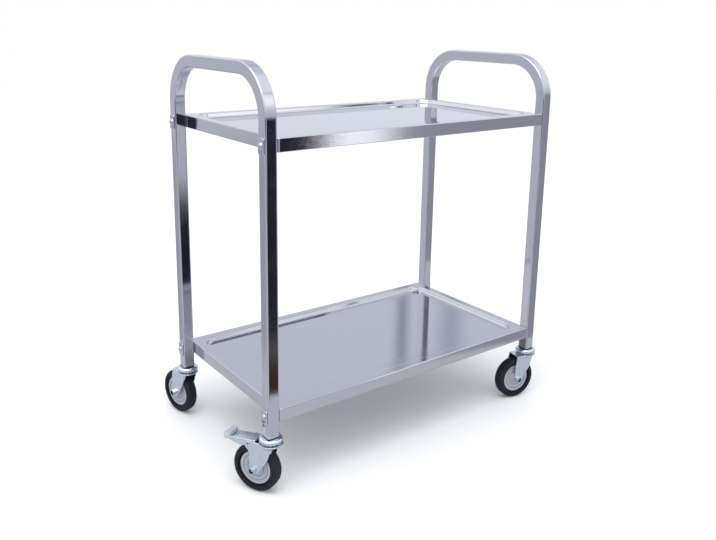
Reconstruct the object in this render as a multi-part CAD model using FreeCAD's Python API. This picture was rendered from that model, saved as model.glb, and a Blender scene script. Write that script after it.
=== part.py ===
import FreeCAD, Part
import math
import os

# Overall size in millimetres. The floor is at zero height and +X runs along the trolley.
trolley_length = 750.0
trolley_width = 400.0
trolley_height = 829.0

# The rear left caster trails outwards, so the legs stand this far to the front of the footprint's middle.
footprint_shift = 27.0

# Square tube of the two end frames. The bend radius is to the middle of the tube.
tube_side = 25.0
tube_wall = 1.2
tube_corner = 3.0
bend_radius = 87.5

# Pressed shelves. The handles rise above the upper one, and the lower one is above the leg ends.
handle_rise = 130.0
lower_shelf_rise = 56.0
sheet = 1.0
skirt_depth = 26.3
shelf_corner = 4.0
fold_radius = 2.0
border_width = 20.0
pan_depth = 10.0
pan_corner = 32.0
pan_draft = 4.0
pan_lip_radius = 3.0
pan_floor_radius = 5.0
hem_width = 9.0

# Bolts that hold each shelf corner to a leg.
bolt_drop = 14.0
bolt_radius = 4.0
bolt_clearance = 0.2
bolt_head_radius = 7.0
bolt_head_height = 4.6
bolt_tip = 3.0
plate_height = 30.0
plate_width = 20.0
plate_thickness = 2.5
plate_corner = 4.0
plate_edge_radius = 1.6
nut_flats = 13.0
nut_height = 6.5

# Plastic plugs in the leg ends, which stop short of the lower shelf's bolts.
plug_flange = 2.0
plug_bolt_gap = 6.0
seat_gap = 0.05

# Swivel head of a caster, from the wheel's top upwards.
wheel_clearance = 6.5
crown_wall = 2.5
crown_edge_share = 0.4
bearing_height = 8.7
bearing_inner_radius = 9.0
bearing_edge = 1.5
race_gap = 1.0
cup_roof = 3.5
cup_radius = 23.5
cup_wall = 2.0
cup_height = 7.0
cup_shoulder = 5.0
rim_overhang = 0.5
stem_radius = 5.5
kingpin_radius = 5.0
rivet_radius = 8.5
rivet_height = 3.5
swivel_gap = 0.3
running_gap = 0.06

# Fork and wheel of a caster.
wheel_radius = 50.0
trail = 31.0
fork_gap = 30.0
fork_wall = 2.5
fork_edge = 0.9
shoulder_drop = 13.0
shoulder_share = 0.2
hub_radius = 34.0
hub_boss_radius = 10.0
hub_side_gap = 0.8
hub_face_width = 14.0
hub_rim_width = 18.0
hub_rim_wall = 4.5
hub_cone = 4.0
hub_ring_width = 2.4
hub_ring_rise = 1.2
hub_edge = 0.5
tyre_width = 25.0
tyre_side_step = 5.0
tyre_side_radius = 3.0
tyre_shoulder = 7.0
tyre_crown = 0.8
axle_radius = 4.0
sleeve_radius = 6.0
axle_head_height = 5.3
axle_tip = 2.0

# Brake pedal, measured from its pivot, which is below the crown and ahead by a share of the trail.
pivot_share = 1.355
pivot_drop = 2.1
pin_radius = 3.0
pin_bore_radius = 1.7
pin_head_radius = 4.2
pin_head_height = 1.2
pedal_wall = 2.0
pedal_rise = 5.6
pedal_back = 15.0
pedal_reach = 51.0
pedal_corner = 3.0
pedal_fold = 1.5
pedal_droop_angle = 5.0
slot_width = 2.4
slot_length = 13.0
slot_shares = [0.64, 0.74]
flange_gap = 0.4
flange_depth = 14.0
tip_length = 15.0
tip_width = 35.0
tip_height = 14.0
tip_cover = 9.0
tip_corner = 5.0
tip_edge = 3.0

# Brake shoe, hung under the pedal and hollowed with the pedal pressed down by its full travel.
shoe_lead = 7.0
shoe_length = 9.0
shoe_drop = 25.0
brake_gap = 0.4
brake_travel_angle = 12.0

# Every cut runs past the faces it opens by this much.
overrun = 5.0

# Fork outlines in the caster's side view: a share of the trail ahead of the swivel axis, a share of the
# crown's top above the floor, and the corner radius as a share of the trail.
plain_fork_shares = [
    (-0.484, 1.000, 0.065),
    (-0.290, 0.927, 0.258),
    (-0.065, 0.716, 0.806),
    (0.710, 0.376, 0.258),
    (1.306, 0.381, 0.290),
    (1.258, 0.789, 0.645),
    (1.097, 1.000, 0.080),
]
brake_fork_shares = [
    (-0.484, 1.000, 0.065),
    (-0.290, 0.927, 0.258),
    (-0.065, 0.716, 0.806),
    (0.710, 0.376, 0.258),
    (1.306, 0.381, 0.290),
    (1.306, 0.807, 0.258),
    (1.581, 0.881, 0.194),
    (1.581, 1.000, 0.161),
]

# Pedal flange outline: a share of the pedal's reach ahead of the pivot, a share of the flange's depth
# down from the pedal's top, and the corner radius as a share of that depth.
flange_shares = [
    (0.863, 0.464, 0.200),
    (0.400, 1.000, 0.550),
    (-0.059, 0.864, 0.350),
    (-0.250, 0.507, 0.260),
]

# Casters: side along X, side along Y, trailing angle from +X, whether it has a brake.
casters = {
    "rear_left": (-1, 1, 101.7, False),
    "front_left": (-1, -1, 118.0, True),
    "rear_right": (1, 1, 298.0, True),
    "front_right": (1, -1, 169.5, False),
}

# Sizes that follow from the ones above.
half_length = trolley_length / 2
half_width = trolley_width / 2
stem_x = half_length - tube_side / 2
stem_y = half_width - tube_side / 2
shelf_length = trolley_length - 2 * tube_side
bend_height = trolley_height - tube_side / 2 - bend_radius
crown_height = 2 * wheel_radius + wheel_clearance
crown_top = crown_height + crown_wall
crown_edge = crown_wall * crown_edge_share
crown_radius = cup_radius + rim_overhang
bearing_outer_radius = cup_radius - cup_wall - race_gap
cup_ceiling = crown_top + bearing_height + swivel_gap
cup_top = cup_ceiling + cup_roof
caster_height = cup_top + plug_flange
upper_shelf_top = trolley_height - handle_rise
lower_shelf_top = caster_height + lower_shelf_rise
plug_top = lower_shelf_top - bolt_drop - bolt_radius - plug_bolt_gap
fork_half = fork_gap / 2
fork_outer = fork_half + fork_wall
flange_outer = fork_half - flange_gap
hub_boss_length = fork_gap - 2 * hub_side_gap
pivot_ahead = trail * pivot_share
pivot_height = crown_height - pivot_drop
pedal_top = pivot_height + pedal_rise
pedal_width = 2 * flange_outer
pedal_start = pivot_ahead - pedal_back
pedal_end = pivot_ahead + pedal_reach

origin = FreeCAD.Vector(0, 0, 0)
along_x = FreeCAD.Vector(1, 0, 0)
along_y = FreeCAD.Vector(0, 1, 0)
along_z = FreeCAD.Vector(0, 0, 1)


def rounded_wire(corners, to_point):
    """Closed wire through corners given as (a, b, radius), with an arc at each corner that has a radius."""
    flat = [(FreeCAD.Vector(a, b, 0), radius) for a, b, radius in corners]
    starts = []
    middles = []
    ends = []
    for index, (corner, radius) in enumerate(flat):
        back = (flat[index - 1][0] - corner).normalize()
        ahead = (flat[(index + 1) % len(flat)][0] - corner).normalize()
        half_angle = back.getAngle(ahead) / 2
        reach = radius / math.tan(half_angle)
        bisector = (back + ahead).normalize()
        starts.append(corner + back * reach)
        middles.append(corner + bisector * (radius / math.sin(half_angle) - radius))
        ends.append(corner + ahead * reach)
    edges = []
    for index, (corner, radius) in enumerate(flat):
        if radius > 0:
            points = [to_point(p) for p in (starts[index], middles[index], ends[index])]
            edges.append(Part.Arc(*points).toShape())
        after = starts[(index + 1) % len(flat)]
        if ends[index].distanceToPoint(after) > seat_gap:
            edges.append(Part.makeLine(to_point(ends[index]), to_point(after)))
    return Part.Wire(edges)


def flat_at(height):
    """Placing of a drawn point on a level plane."""
    return lambda p: FreeCAD.Vector(p.x, p.y, height)


def upright_at(offset):
    """Placing of a drawn point on an upright plane across Y."""
    return lambda p: FreeCAD.Vector(p.x, offset, p.y)


def rectangle(half_a, half_b, radius):
    """Corners of a rectangle about the middle, for rounded_wire."""
    signs = [(-1, -1), (1, -1), (1, 1), (-1, 1)]
    return [(a * half_a, b * half_b, radius) for a, b in signs]


def block(half_a, half_b, radius, bottom, top):
    """Upright block with rounded vertical corners."""
    face = Part.Face(rounded_wire(rectangle(half_a, half_b, radius), flat_at(bottom)))
    return face.extrude(along_z * (top - bottom))


def turned(corners):
    """Solid of revolution about Z from (radius, height, corner radius) points."""
    face = Part.Face(rounded_wire(corners, upright_at(0)))
    return face.revolve(origin, along_z, 360)


def rod(radius, bottom, top):
    """Round rod along Z."""
    return Part.makeCylinder(radius, top - bottom, along_z * bottom)


def laid_along_y(shape):
    """The same shape with its Z axis turned onto +Y."""
    return shape.rotated(origin, along_x, -90)


def cross_rod(radius, ahead, height, half_span):
    """Round rod along Y at a point of the caster's side view."""
    rod_at_origin = laid_along_y(rod(radius, -half_span, half_span))
    return rod_at_origin.translated(FreeCAD.Vector(ahead, 0, height))


def hexagon(flats, bottom, top):
    """Hexagonal prism along Z."""
    sides = 6
    corner_radius = flats / 2 / math.cos(math.pi / sides)
    corners = []
    for step in range(sides):
        angle = 2 * math.pi * step / sides
        corners.append((corner_radius * math.cos(angle), corner_radius * math.sin(angle), 0))
    face = Part.Face(rounded_wire(corners, flat_at(bottom)))
    return face.extrude(along_z * (top - bottom))


def fork_outline(shares):
    """Side-view corners of a fork plate."""
    return [(trail * ahead, crown_top * up, trail * corner) for ahead, up, corner in shares]


def flange_outline():
    """Side-view corners of a pedal flange, hung from the fold of the level foot plate."""
    corners = []
    for ahead, down, corner in flange_shares:
        point = (pivot_ahead + pedal_reach * ahead, pedal_top - flange_depth * down, flange_depth * corner)
        corners.append(point)
    top = pedal_top - pedal_fold
    return corners + [(corners[-1][0], top, 0), (corners[0][0], top, 0)]


def side_plate(outline, inner, outer):
    """Plate cut to a side-view outline, between two distances from the caster's middle plane."""
    face = Part.Face(rounded_wire(outline, upright_at(inner)))
    return face.extrude(along_y * (outer - inner))


def edges_at(shape, height):
    """Edges that lie wholly at one height."""
    found = []
    for edge in shape.Edges:
        box = edge.BoundBox
        if abs(box.ZMin - height) < seat_gap and abs(box.ZMax - height) < seat_gap:
            found.append(edge)
    return found


def tube_section():
    """Wall of the square tube as a flat face in the plane of X and Y."""
    outer = Part.Face(rounded_wire(rectangle(tube_side / 2, tube_side / 2, tube_corner), flat_at(0)))
    inner_half = tube_side / 2 - tube_wall
    inner_corner = tube_corner - tube_wall
    inner = Part.Face(rounded_wire(rectangle(inner_half, inner_half, inner_corner), flat_at(0)))
    return outer.cut(inner)


def end_frame(side):
    """One tube bent into a U: two legs and the push handle between them."""
    pieces = []
    section = tube_section()
    for end in (-1, 1):
        leg = section.translated(FreeCAD.Vector(0, end * stem_y, caster_height))
        pieces.append(leg.extrude(along_z * (bend_height - caster_height)))
        bend_start = section.translated(FreeCAD.Vector(0, end * stem_y, bend_height))
        bend_centre = FreeCAD.Vector(0, end * (stem_y - bend_radius), bend_height)
        pieces.append(bend_start.revolve(bend_centre, along_x * end, 90))
    grip_half = stem_y - bend_radius
    grip = section.rotated(origin, along_x, -90)
    grip = grip.translated(FreeCAD.Vector(0, -grip_half, trolley_height - tube_side / 2))
    pieces.append(grip.extrude(along_y * (2 * grip_half)))
    frame = pieces[0].multiFuse(pieces[1:]).removeSplitter()
    frame = frame.translated(along_x * (side * stem_x))
    for shelf_top in (upper_shelf_top, lower_shelf_top):
        for end in (-1, 1):
            frame = frame.cut(bolt_hole(side, end, shelf_top))
    return frame


def bolt_point(side, end, shelf_top):
    """Point on a leg's outer face where a shelf bolt goes in."""
    return FreeCAD.Vector(side * half_length, end * stem_y, shelf_top - bolt_drop)


def facing_out(shape, side):
    """The same shape with its Z axis turned to point out of the leg's outer face."""
    return shape.rotated(origin, along_y, side * 90)


def bolt_hole(side, end, shelf_top):
    """Cutter for the hole through both leg walls and the shelf's end skirt."""
    deep = tube_side + sheet + overrun
    hole = rod(bolt_radius + bolt_clearance, -deep, overrun)
    return facing_out(hole, side).translated(bolt_point(side, end, shelf_top))


def pan_recess():
    """Cutter for the sunk pan, with drafted walls."""
    half_x = shelf_length / 2 - border_width
    half_y = half_width - border_width
    top = rounded_wire(rectangle(half_x, half_y, pan_corner), flat_at(0))
    floor_corners = rectangle(half_x - pan_draft, half_y - pan_draft, pan_corner - pan_draft)
    floor = rounded_wire(floor_corners, flat_at(-pan_depth))
    return Part.makeLoft([floor, top], True, True)


def shelf(top):
    """Pressed sheet shelf: sunk pan, flat border, folded skirts and a hem turned inwards."""
    body = block(shelf_length / 2, half_width, shelf_corner, -skirt_depth, 0)
    body = body.makeFillet(fold_radius, edges_at(body, 0))
    body = body.cut(pan_recess())
    lip = [e for e in edges_at(body, 0) if e.BoundBox.XMax < shelf_length / 2 - border_width / 2
           and e.BoundBox.XMin > border_width / 2 - shelf_length / 2
           and abs(e.BoundBox.YMax) < half_width - border_width / 2
           and abs(e.BoundBox.YMin) < half_width - border_width / 2]
    body = body.makeFillet(pan_lip_radius, lip)
    body = body.makeFillet(pan_floor_radius, edges_at(body, -pan_depth))
    underside = [f for f in body.Faces if abs(f.BoundBox.ZMax + skirt_depth) < seat_gap]
    pressing = body.makeThickness(underside, -sheet, seat_gap)
    hem = block(shelf_length / 2 - sheet / 2, half_width - sheet / 2, shelf_corner - sheet / 2,
                -skirt_depth, sheet - skirt_depth)
    opening = block(shelf_length / 2 - hem_width, half_width - hem_width, shelf_corner,
                    -skirt_depth - overrun, overrun - skirt_depth)
    pressing = pressing.fuse(hem.cut(opening)).removeSplitter()
    pressing = pressing.translated(along_z * top)
    for side in (-1, 1):
        for end in (-1, 1):
            pressing = pressing.cut(bolt_hole(side, end, top))
    return pressing


def shelf_bolt():
    """Dome-headed bolt along Z with the underside of its head at zero height."""
    length = plate_thickness + tube_side + sheet + nut_height + bolt_tip
    head_curve = (bolt_head_radius ** 2 + bolt_head_height ** 2) / (2 * bolt_head_height)
    ball = Part.makeSphere(head_curve, along_z * (bolt_head_height - head_curve))
    dome = ball.common(rod(bolt_head_radius + overrun, 0, bolt_head_height + overrun))
    return dome.fuse(rod(bolt_radius, -length, 0))


def shelf_plate():
    """Rounded plate between a bolt head and the leg, drawn on top of the leg's face."""
    plate = block(plate_height / 2, plate_width / 2, plate_corner, 0, plate_thickness)
    plate = plate.makeFillet(plate_edge_radius, edges_at(plate, plate_thickness))
    return plate.cut(rod(bolt_radius + bolt_clearance, -overrun, plate_thickness + overrun))


def shelf_nut():
    """Nut welded behind the shelf's end skirt, drawn at its depth below the leg's face."""
    near = -tube_side - sheet
    nut = hexagon(nut_flats, near - nut_height, near)
    return nut.cut(rod(bolt_radius + seat_gap, near - nut_height - overrun, near + overrun))


def corner_group(piece, shelf_top):
    """The same small piece at the four corners of one shelf."""
    copies = []
    for side in (-1, 1):
        for end in (-1, 1):
            copies.append(facing_out(piece, side).translated(bolt_point(side, end, shelf_top)))
    return Part.makeCompound(copies)


def leg_plug():
    """Plug with a flange under the leg and a bore for the caster stem."""
    inner_half = tube_side / 2 - tube_wall - seat_gap
    flange = block(tube_side / 2, tube_side / 2, tube_corner, cup_top, caster_height)
    spigot = block(inner_half, inner_half, tube_corner - tube_wall, caster_height, plug_top)
    bore = rod(stem_radius + seat_gap, cup_top - overrun, plug_top + overrun)
    return flange.fuse(spigot).removeSplitter().cut(bore)


def stem():
    """Stem in the plug, with the kingpin below it riveted over under the fork crown."""
    rivet_top = crown_height - swivel_gap
    pin = rod(stem_radius, cup_ceiling, plug_top)
    kingpin = rod(kingpin_radius, rivet_top, cup_ceiling)
    rivet = rod(rivet_radius, rivet_top - rivet_height, rivet_top)
    rivet = rivet.makeFillet(rivet_height / 2, edges_at(rivet, rivet_top - rivet_height))
    return pin.fuse([kingpin, rivet]).removeSplitter()


def swivel_cup():
    """Domed upper race, fixed to the stem."""
    hole = stem_radius + seat_gap
    inner = cup_radius - cup_wall
    return turned([
        (hole, cup_ceiling, 0),
        (inner, cup_ceiling, cup_wall),
        (inner, cup_top - cup_height, 0),
        (cup_radius, cup_top - cup_height, 0),
        (cup_radius, cup_top, cup_shoulder),
        (hole, cup_top, 0),
    ])


def swivel_bearing():
    """Bearing ring that sits in the fork crown under the cup."""
    top = cup_ceiling - swivel_gap
    return turned([
        (bearing_inner_radius, crown_top, 0),
        (bearing_outer_radius, crown_top, 0),
        (bearing_outer_radius, top, bearing_edge),
        (bearing_inner_radius, top, bearing_edge),
    ])


def fork_crown():
    """Round crown plate with a rolled edge, which carries the bearing ring."""
    hole = kingpin_radius + running_gap
    return turned([
        (hole, crown_height, 0),
        (crown_radius, crown_height, crown_edge),
        (crown_radius, crown_top, crown_edge),
        (hole, crown_top, 0),
    ])


def fork_bridge(end):
    """Level plate that carries the crown on between the side plates, over the wheel."""
    start = crown_radius / 2
    plate = block((end - start) / 2, fork_outer - fork_edge, fork_edge, crown_height, crown_top)
    return plate.translated(along_x * ((start + end) / 2))


def fork_shoulders():
    """Flared shoulders that carry the round crown down into the two side plates."""
    rim = crown_radius - crown_edge
    seam_height = crown_height + crown_wall / 2
    waist = fork_outer + shoulder_share * (rim - fork_outer)
    upper = FreeCAD.Vector(rim, 0, crown_height)
    middle = FreeCAD.Vector(waist, 0, crown_height - shoulder_drop / 2)
    lower = FreeCAD.Vector(fork_outer, 0, crown_height - shoulder_drop)
    flare = Part.Arc(upper, middle, lower).toShape()
    inner_lower = FreeCAD.Vector(fork_half, 0, crown_height - shoulder_drop)
    inner_upper = FreeCAD.Vector(fork_half, 0, seam_height)
    outer_upper = FreeCAD.Vector(rim, 0, seam_height)
    outline = [lower, inner_lower, inner_upper, outer_upper, upper]
    straights = [Part.makeLine(a, b) for a, b in zip(outline, outline[1:])]
    ring = Part.Face(Part.Wire([flare] + straights)).revolve(origin, along_z, 360)
    reach = crown_radius + overrun
    throat = Part.makeBox(2 * reach, fork_gap, crown_height, FreeCAD.Vector(-reach, -fork_half, 0))
    return ring.cut(throat)


def fork_plate(shares, side):
    """One tapered side plate with its outer edge rounded."""
    plate = side_plate(fork_outline(shares), fork_half, fork_outer)
    outer_edges = [e for e in plate.Edges if e.BoundBox.YMin > fork_outer - seat_gap]
    plate = plate.makeFillet(fork_edge, outer_edges)
    return plate if side > 0 else plate.mirror(origin, along_y)


def fork(braked):
    """Pressed fork: crown, shoulders and two tapered side plates with rounded feet."""
    shares = brake_fork_shares if braked else plain_fork_shares
    pieces = [fork_plate(shares, 1), fork_plate(shares, -1), fork_shoulders()]
    if not braked:
        pieces.append(fork_bridge(trail * plain_fork_shares[-1][0]))
    body = fork_crown().fuse(pieces).removeSplitter()
    body = body.cut(cross_rod(axle_radius + seat_gap, trail, wheel_radius, fork_outer + overrun))
    if braked:
        body = body.cut(cross_rod(pin_radius + seat_gap, pivot_ahead, pivot_height, fork_outer + overrun))
    return body


def on_axle(shape):
    """A piece drawn about Z, laid onto the wheel axle."""
    return laid_along_y(shape).translated(FreeCAD.Vector(trail, 0, wheel_radius))


def axle_bolt():
    """Hexagon bolt through the fork and the axle sleeve."""
    head = hexagon(nut_flats, -fork_outer - axle_head_height, -fork_outer)
    shank = rod(axle_radius, -fork_outer, fork_outer + nut_height + axle_tip)
    return on_axle(head.fuse(shank))


def axle_nut():
    """Nut on the outer side of the fork."""
    nut = hexagon(nut_flats, fork_outer, fork_outer + nut_height)
    bore = rod(axle_radius + seat_gap, fork_outer - overrun, fork_outer + nut_height + overrun)
    return on_axle(nut.cut(bore))


def axle_sleeve():
    """Spacer tube between the two fork plates, on which the wheel turns."""
    tube = rod(sleeve_radius, -fork_half, fork_half)
    return on_axle(tube.cut(rod(axle_radius + seat_gap, -fork_half - overrun, fork_half + overrun)))


def wheel_hub():
    """Moulded wheel centre with a boss, sunk faces with a raised ring, and a raised rim."""
    bore = sleeve_radius + running_gap
    rim_inner = hub_radius - hub_rim_wall
    cone_foot = hub_boss_radius + hub_cone
    face = hub_face_width / 2
    ring_outer = (cone_foot + rim_inner + hub_ring_width) / 2
    ring_inner = ring_outer - hub_ring_width
    half = [
        (hub_radius, hub_rim_width / 2, hub_edge),
        (rim_inner, hub_rim_width / 2, hub_edge),
        (rim_inner, face, hub_edge),
        (ring_outer, face, 0),
        (ring_outer, face + hub_ring_rise, hub_edge),
        (ring_inner, face + hub_ring_rise, hub_edge),
        (ring_inner, face, 0),
        (cone_foot, face, hub_edge),
        (hub_boss_radius, hub_boss_length / 2, hub_edge),
        (bore, hub_boss_length / 2, 0),
    ]
    other = [(radius, -width, corner) for radius, width, corner in reversed(half)]
    return on_axle(turned(half + other))


def wheel_tyre():
    """Moulded tread ring with rounded shoulders and a slight crown."""
    seat = hub_radius + seat_gap
    half = [
        (seat, hub_rim_width / 2, 0),
        (seat + tyre_side_step, tyre_width / 2, tyre_side_radius),
        (wheel_radius - tyre_crown, tyre_width / 2, tyre_shoulder),
        (wheel_radius, 0, 0),
    ]
    other = [(radius, -width, corner) for radius, width, corner in reversed(half[:-1])]
    return on_axle(turned(half + other))


def on_pivot(shape, angle):
    """A brake piece turned about the pedal pivot, with its far end downwards for a positive angle."""
    return shape.rotated(FreeCAD.Vector(pivot_ahead, 0, pivot_height), along_y, angle)


def pedal_tread(start, end, width, bottom, top, corner):
    """Rounded plate of the pedal between two points along the caster."""
    plate = block((end - start) / 2, width / 2, corner, bottom, top)
    return plate.translated(along_x * ((start + end) / 2))


def brake_pedal():
    """Pressed pedal: a foot plate over two side flanges that hang on the pivot pin."""
    tread = pedal_tread(pedal_start, pedal_end, pedal_width, pedal_top - pedal_wall, pedal_top,
                        pedal_corner)
    tread = tread.makeFillet(pedal_fold, edges_at(tread, pedal_top))
    flanges = [
        side_plate(flange_outline(), flange_outer - pedal_wall, flange_outer),
        side_plate(flange_outline(), -flange_outer, pedal_wall - flange_outer),
    ]
    body = tread.fuse(flanges).removeSplitter()
    cutters = [cross_rod(pin_radius + running_gap, pivot_ahead, pivot_height, fork_outer + overrun)]
    for share in slot_shares:
        slot = block(slot_width / 2, slot_length / 2, slot_width / 2 - seat_gap,
                     pedal_top - pedal_wall - overrun, pedal_top + overrun)
        cutters.append(slot.translated(along_x * (pivot_ahead + pedal_reach * share)))
    return on_pivot(body.cut(cutters), pedal_droop_angle)


def brake_tip():
    """Moulded foot pad pushed over the end of the pedal."""
    start = pedal_end - tip_cover
    middle = pedal_top - pedal_wall / 2
    pad = pedal_tread(start, start + tip_length, tip_width, middle - tip_height / 2,
                      middle + tip_height / 2, tip_corner)
    rims = edges_at(pad, middle - tip_height / 2) + edges_at(pad, middle + tip_height / 2)
    pad = pad.makeFillet(tip_edge, rims)
    pocket = pedal_tread(pedal_start, pedal_end, pedal_width + 2 * seat_gap,
                         pedal_top - pedal_wall - seat_gap, pedal_top + seat_gap, pedal_corner)
    cutters = [pocket]
    for inner in (flange_outer - pedal_wall - seat_gap, -flange_outer - seat_gap):
        outer = inner + pedal_wall + 2 * seat_gap
        cutters.append(side_plate(flange_outline(), inner, outer))
    return on_pivot(pad.cut(cutters), pedal_droop_angle)


def brake_shoe():
    """Block between the pedal flanges, hollowed to lie round the tread when the pedal is down."""
    half_span = flange_outer - pedal_wall
    bottom = pedal_top - pedal_wall - shoe_drop
    corner = FreeCAD.Vector(pivot_ahead + shoe_lead, -half_span, bottom)
    shoe = Part.makeBox(shoe_length, 2 * half_span, shoe_drop, corner)
    pressed = on_pivot(shoe, pedal_droop_angle + brake_travel_angle)
    pressed = pressed.cut(cross_rod(wheel_radius + brake_gap, trail, wheel_radius, fork_outer))
    return on_pivot(pressed, -brake_travel_angle)


def brake_pin():
    """Hollow rivet through the fork ears, on which the pedal turns."""
    body = cross_rod(pin_radius, pivot_ahead, pivot_height, fork_outer)
    for side in (-1, 1):
        head = laid_along_y(rod(pin_head_radius, 0, pin_head_height))
        shift = side * fork_outer + min(side, 0) * pin_head_height
        body = body.fuse(head.translated(FreeCAD.Vector(pivot_ahead, shift, pivot_height)))
    return body.cut(cross_rod(pin_bore_radius, pivot_ahead, pivot_height, fork_outer + overrun))


def caster_pieces(braked):
    """All pieces of one caster, drawn trailing along +X about the swivel axis."""
    pieces = {
        "leg_plug": leg_plug(),
        "stem": stem(),
        "swivel_cup": swivel_cup(),
        "swivel_bearing": swivel_bearing(),
        "fork": fork(braked),
        "axle_bolt": axle_bolt(),
        "axle_nut": axle_nut(),
        "axle_sleeve": axle_sleeve(),
        "wheel_hub": wheel_hub(),
        "wheel_tyre": wheel_tyre(),
    }
    if braked:
        pieces["brake_pedal"] = brake_pedal()
        pieces["brake_tip"] = brake_tip()
        pieces["brake_shoe"] = brake_shoe()
        pieces["brake_pin"] = brake_pin()
    return pieces


def placed_caster(name):
    """The pieces of one caster at its leg, turned to its trailing angle."""
    side, end, angle, braked = casters[name]
    corner = FreeCAD.Vector(side * stem_x, end * stem_y, 0)
    placed = {}
    for piece, shape in caster_pieces(braked).items():
        turn = 0 if piece == "leg_plug" else angle
        placed[name + "_" + piece] = shape.rotated(origin, along_z, turn).translated(corner)
    return placed


def trolley():
    """Every node of the trolley by name."""
    nodes = {
        "left_end_frame": end_frame(-1),
        "right_end_frame": end_frame(1),
        "upper_shelf": shelf(upper_shelf_top),
        "lower_shelf": shelf(lower_shelf_top),
    }
    bolt = shelf_bolt().translated(along_z * plate_thickness)
    for level, shelf_top in (("upper", upper_shelf_top), ("lower", lower_shelf_top)):
        nodes[level + "_shelf_bolts"] = corner_group(bolt, shelf_top)
        nodes[level + "_shelf_plates"] = corner_group(shelf_plate(), shelf_top)
        nodes[level + "_shelf_nuts"] = corner_group(shelf_nut(), shelf_top)
    for name in casters:
        nodes.update(placed_caster(name))
    return nodes


os.makedirs("parts", exist_ok=True)
for node, shape in trolley().items():
    shape = shape.translated(FreeCAD.Vector(0, -footprint_shift, 0))
    shape.exportStep("parts/" + node + ".step")
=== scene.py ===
import math

import bmesh
import bpy
import numpy as np
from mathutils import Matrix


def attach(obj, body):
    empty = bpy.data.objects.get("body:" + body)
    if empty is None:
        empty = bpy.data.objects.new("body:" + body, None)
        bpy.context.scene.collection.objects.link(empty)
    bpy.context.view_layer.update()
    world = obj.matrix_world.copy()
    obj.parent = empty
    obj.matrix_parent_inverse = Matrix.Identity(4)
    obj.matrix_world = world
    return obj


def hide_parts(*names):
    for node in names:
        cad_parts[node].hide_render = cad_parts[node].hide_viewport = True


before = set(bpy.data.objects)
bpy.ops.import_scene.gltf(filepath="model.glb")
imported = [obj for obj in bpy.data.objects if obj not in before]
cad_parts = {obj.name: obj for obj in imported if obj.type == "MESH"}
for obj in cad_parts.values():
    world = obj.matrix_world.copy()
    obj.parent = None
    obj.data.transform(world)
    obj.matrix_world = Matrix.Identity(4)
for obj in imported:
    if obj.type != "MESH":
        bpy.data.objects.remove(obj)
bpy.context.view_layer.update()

# Sizes in millimetres, as in the part's own source. LEGS_SHIFT is the middle of the legs from the origin.
MM = 0.001
LEGS_SHIFT = -27.0
LENGTH = 750.0
WIDTH = 400.0
HEIGHT = 829.0

# End frames, and the middle of a leg from the middle of the trolley.
TUBE = 25.0
TUBE_WALL = 1.2
TUBE_CORNER = 3.0
BEND_RADIUS = 87.5
LEG_FOOT = 123.5
STEM_X = LENGTH / 2 - TUBE / 2
STEM_Y = WIDTH / 2 - TUBE / 2

# Shelves. The pan's floor is drawn as far in from the shelf's edge as PAN_FLOOR, and a lid closes the rest.
SHELF_TOPS = {"upper": 699.0, "lower": 179.5}
SHEET = 1.0
SKIRT = 26.3
HEM = 9.0
PAN_BORDER = 20.0
PAN_DEPTH = 10.0
PAN_DRAFT = 4.0
PAN_FLOOR = 60.0

# Bolts with their plates and nuts. The axle has the same thread and nut.
BOLT_DROP = 14.0
BOLT_RADIUS = 4.0
BOLT_TIP = 3.0
HEAD_RADIUS = 7.0
HEAD_HEIGHT = 4.6
THREAD_PITCH = 1.25
THREAD_DEPTH = 0.55
NUT_FLATS = 13.0
NUT_HEIGHT = 6.5
NUT_BORE = 4.05
# Inside the next radius a lock nut is painted dark: its nylon ring, and painted shade in the bore.
NYLON_AND_SHADE_RADIUS = 4.8
PLATE_LENGTH = 30.0
PLATE_WIDTH = 20.0
PLATE_CORNER = 4.0
PLATE_EDGE = 1.2
PLATE_THICK = 2.5

# Casters. The fork's outside and the wheel centre's sunk face are measured from the wheel's middle.
CUP_TOP = 121.5
CROWN_TOP = 109.0
WHEEL_RADIUS = 50.0
TRAIL = 31.0
FORK_OUTSIDE = 17.5
AXLE_HEAD = 5.3
AXLE_HEAD_BORE = 3.9
AXLE_TIP = 4.0
HUB_FACE = 7.0
HUB_LINE = 0.8
# Inside the next radius the tread's inner wall is painted black, as painted shade.
RIM_SHADE_RADIUS = 39.2

# Brake pedal and its pad: half sizes along, across and up, the pad's middle from the pivot, and its end rounds.
PIVOT = (42.005, 104.4)
PEDAL_DROOP = math.radians(5.0)
PAD_HALF = (7.2, 17.4, 6.2)
PAD_PLACE = (49.5, 6.4)
PAD_ENDS = (5.0, 2.5)
RIB_PITCH = 2.5
RIB_DEPTH = 0.6

# Points held beside a round keep the flats flat: as a share of the radius on a section, in millimetres on a
# rounded rectangle and on a bent tube.
SECTION_HOLD = 0.25
RECTANGLE_HOLD = 0.3
TUBE_HOLD = 2.0

# Points closer than this, in metres, are one, and edges that turn more than this are sharp.
MERGE = 1e-7
SHARP = math.radians(35)

# Inputs and output of a mix of two colours.
SHARE, FIRST, SECOND, MIXED = 0, 6, 7, 2

# Casters: side along X, side along Y, trailing angle from +X in degrees, whether it has a brake.
CASTERS = {
    "rear_left": (-1, 1, 101.7, False),
    "front_left": (-1, -1, 118.0, True),
    "rear_right": (1, 1, 298.0, True),
    "front_right": (1, -1, 169.5, False),
}


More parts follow.
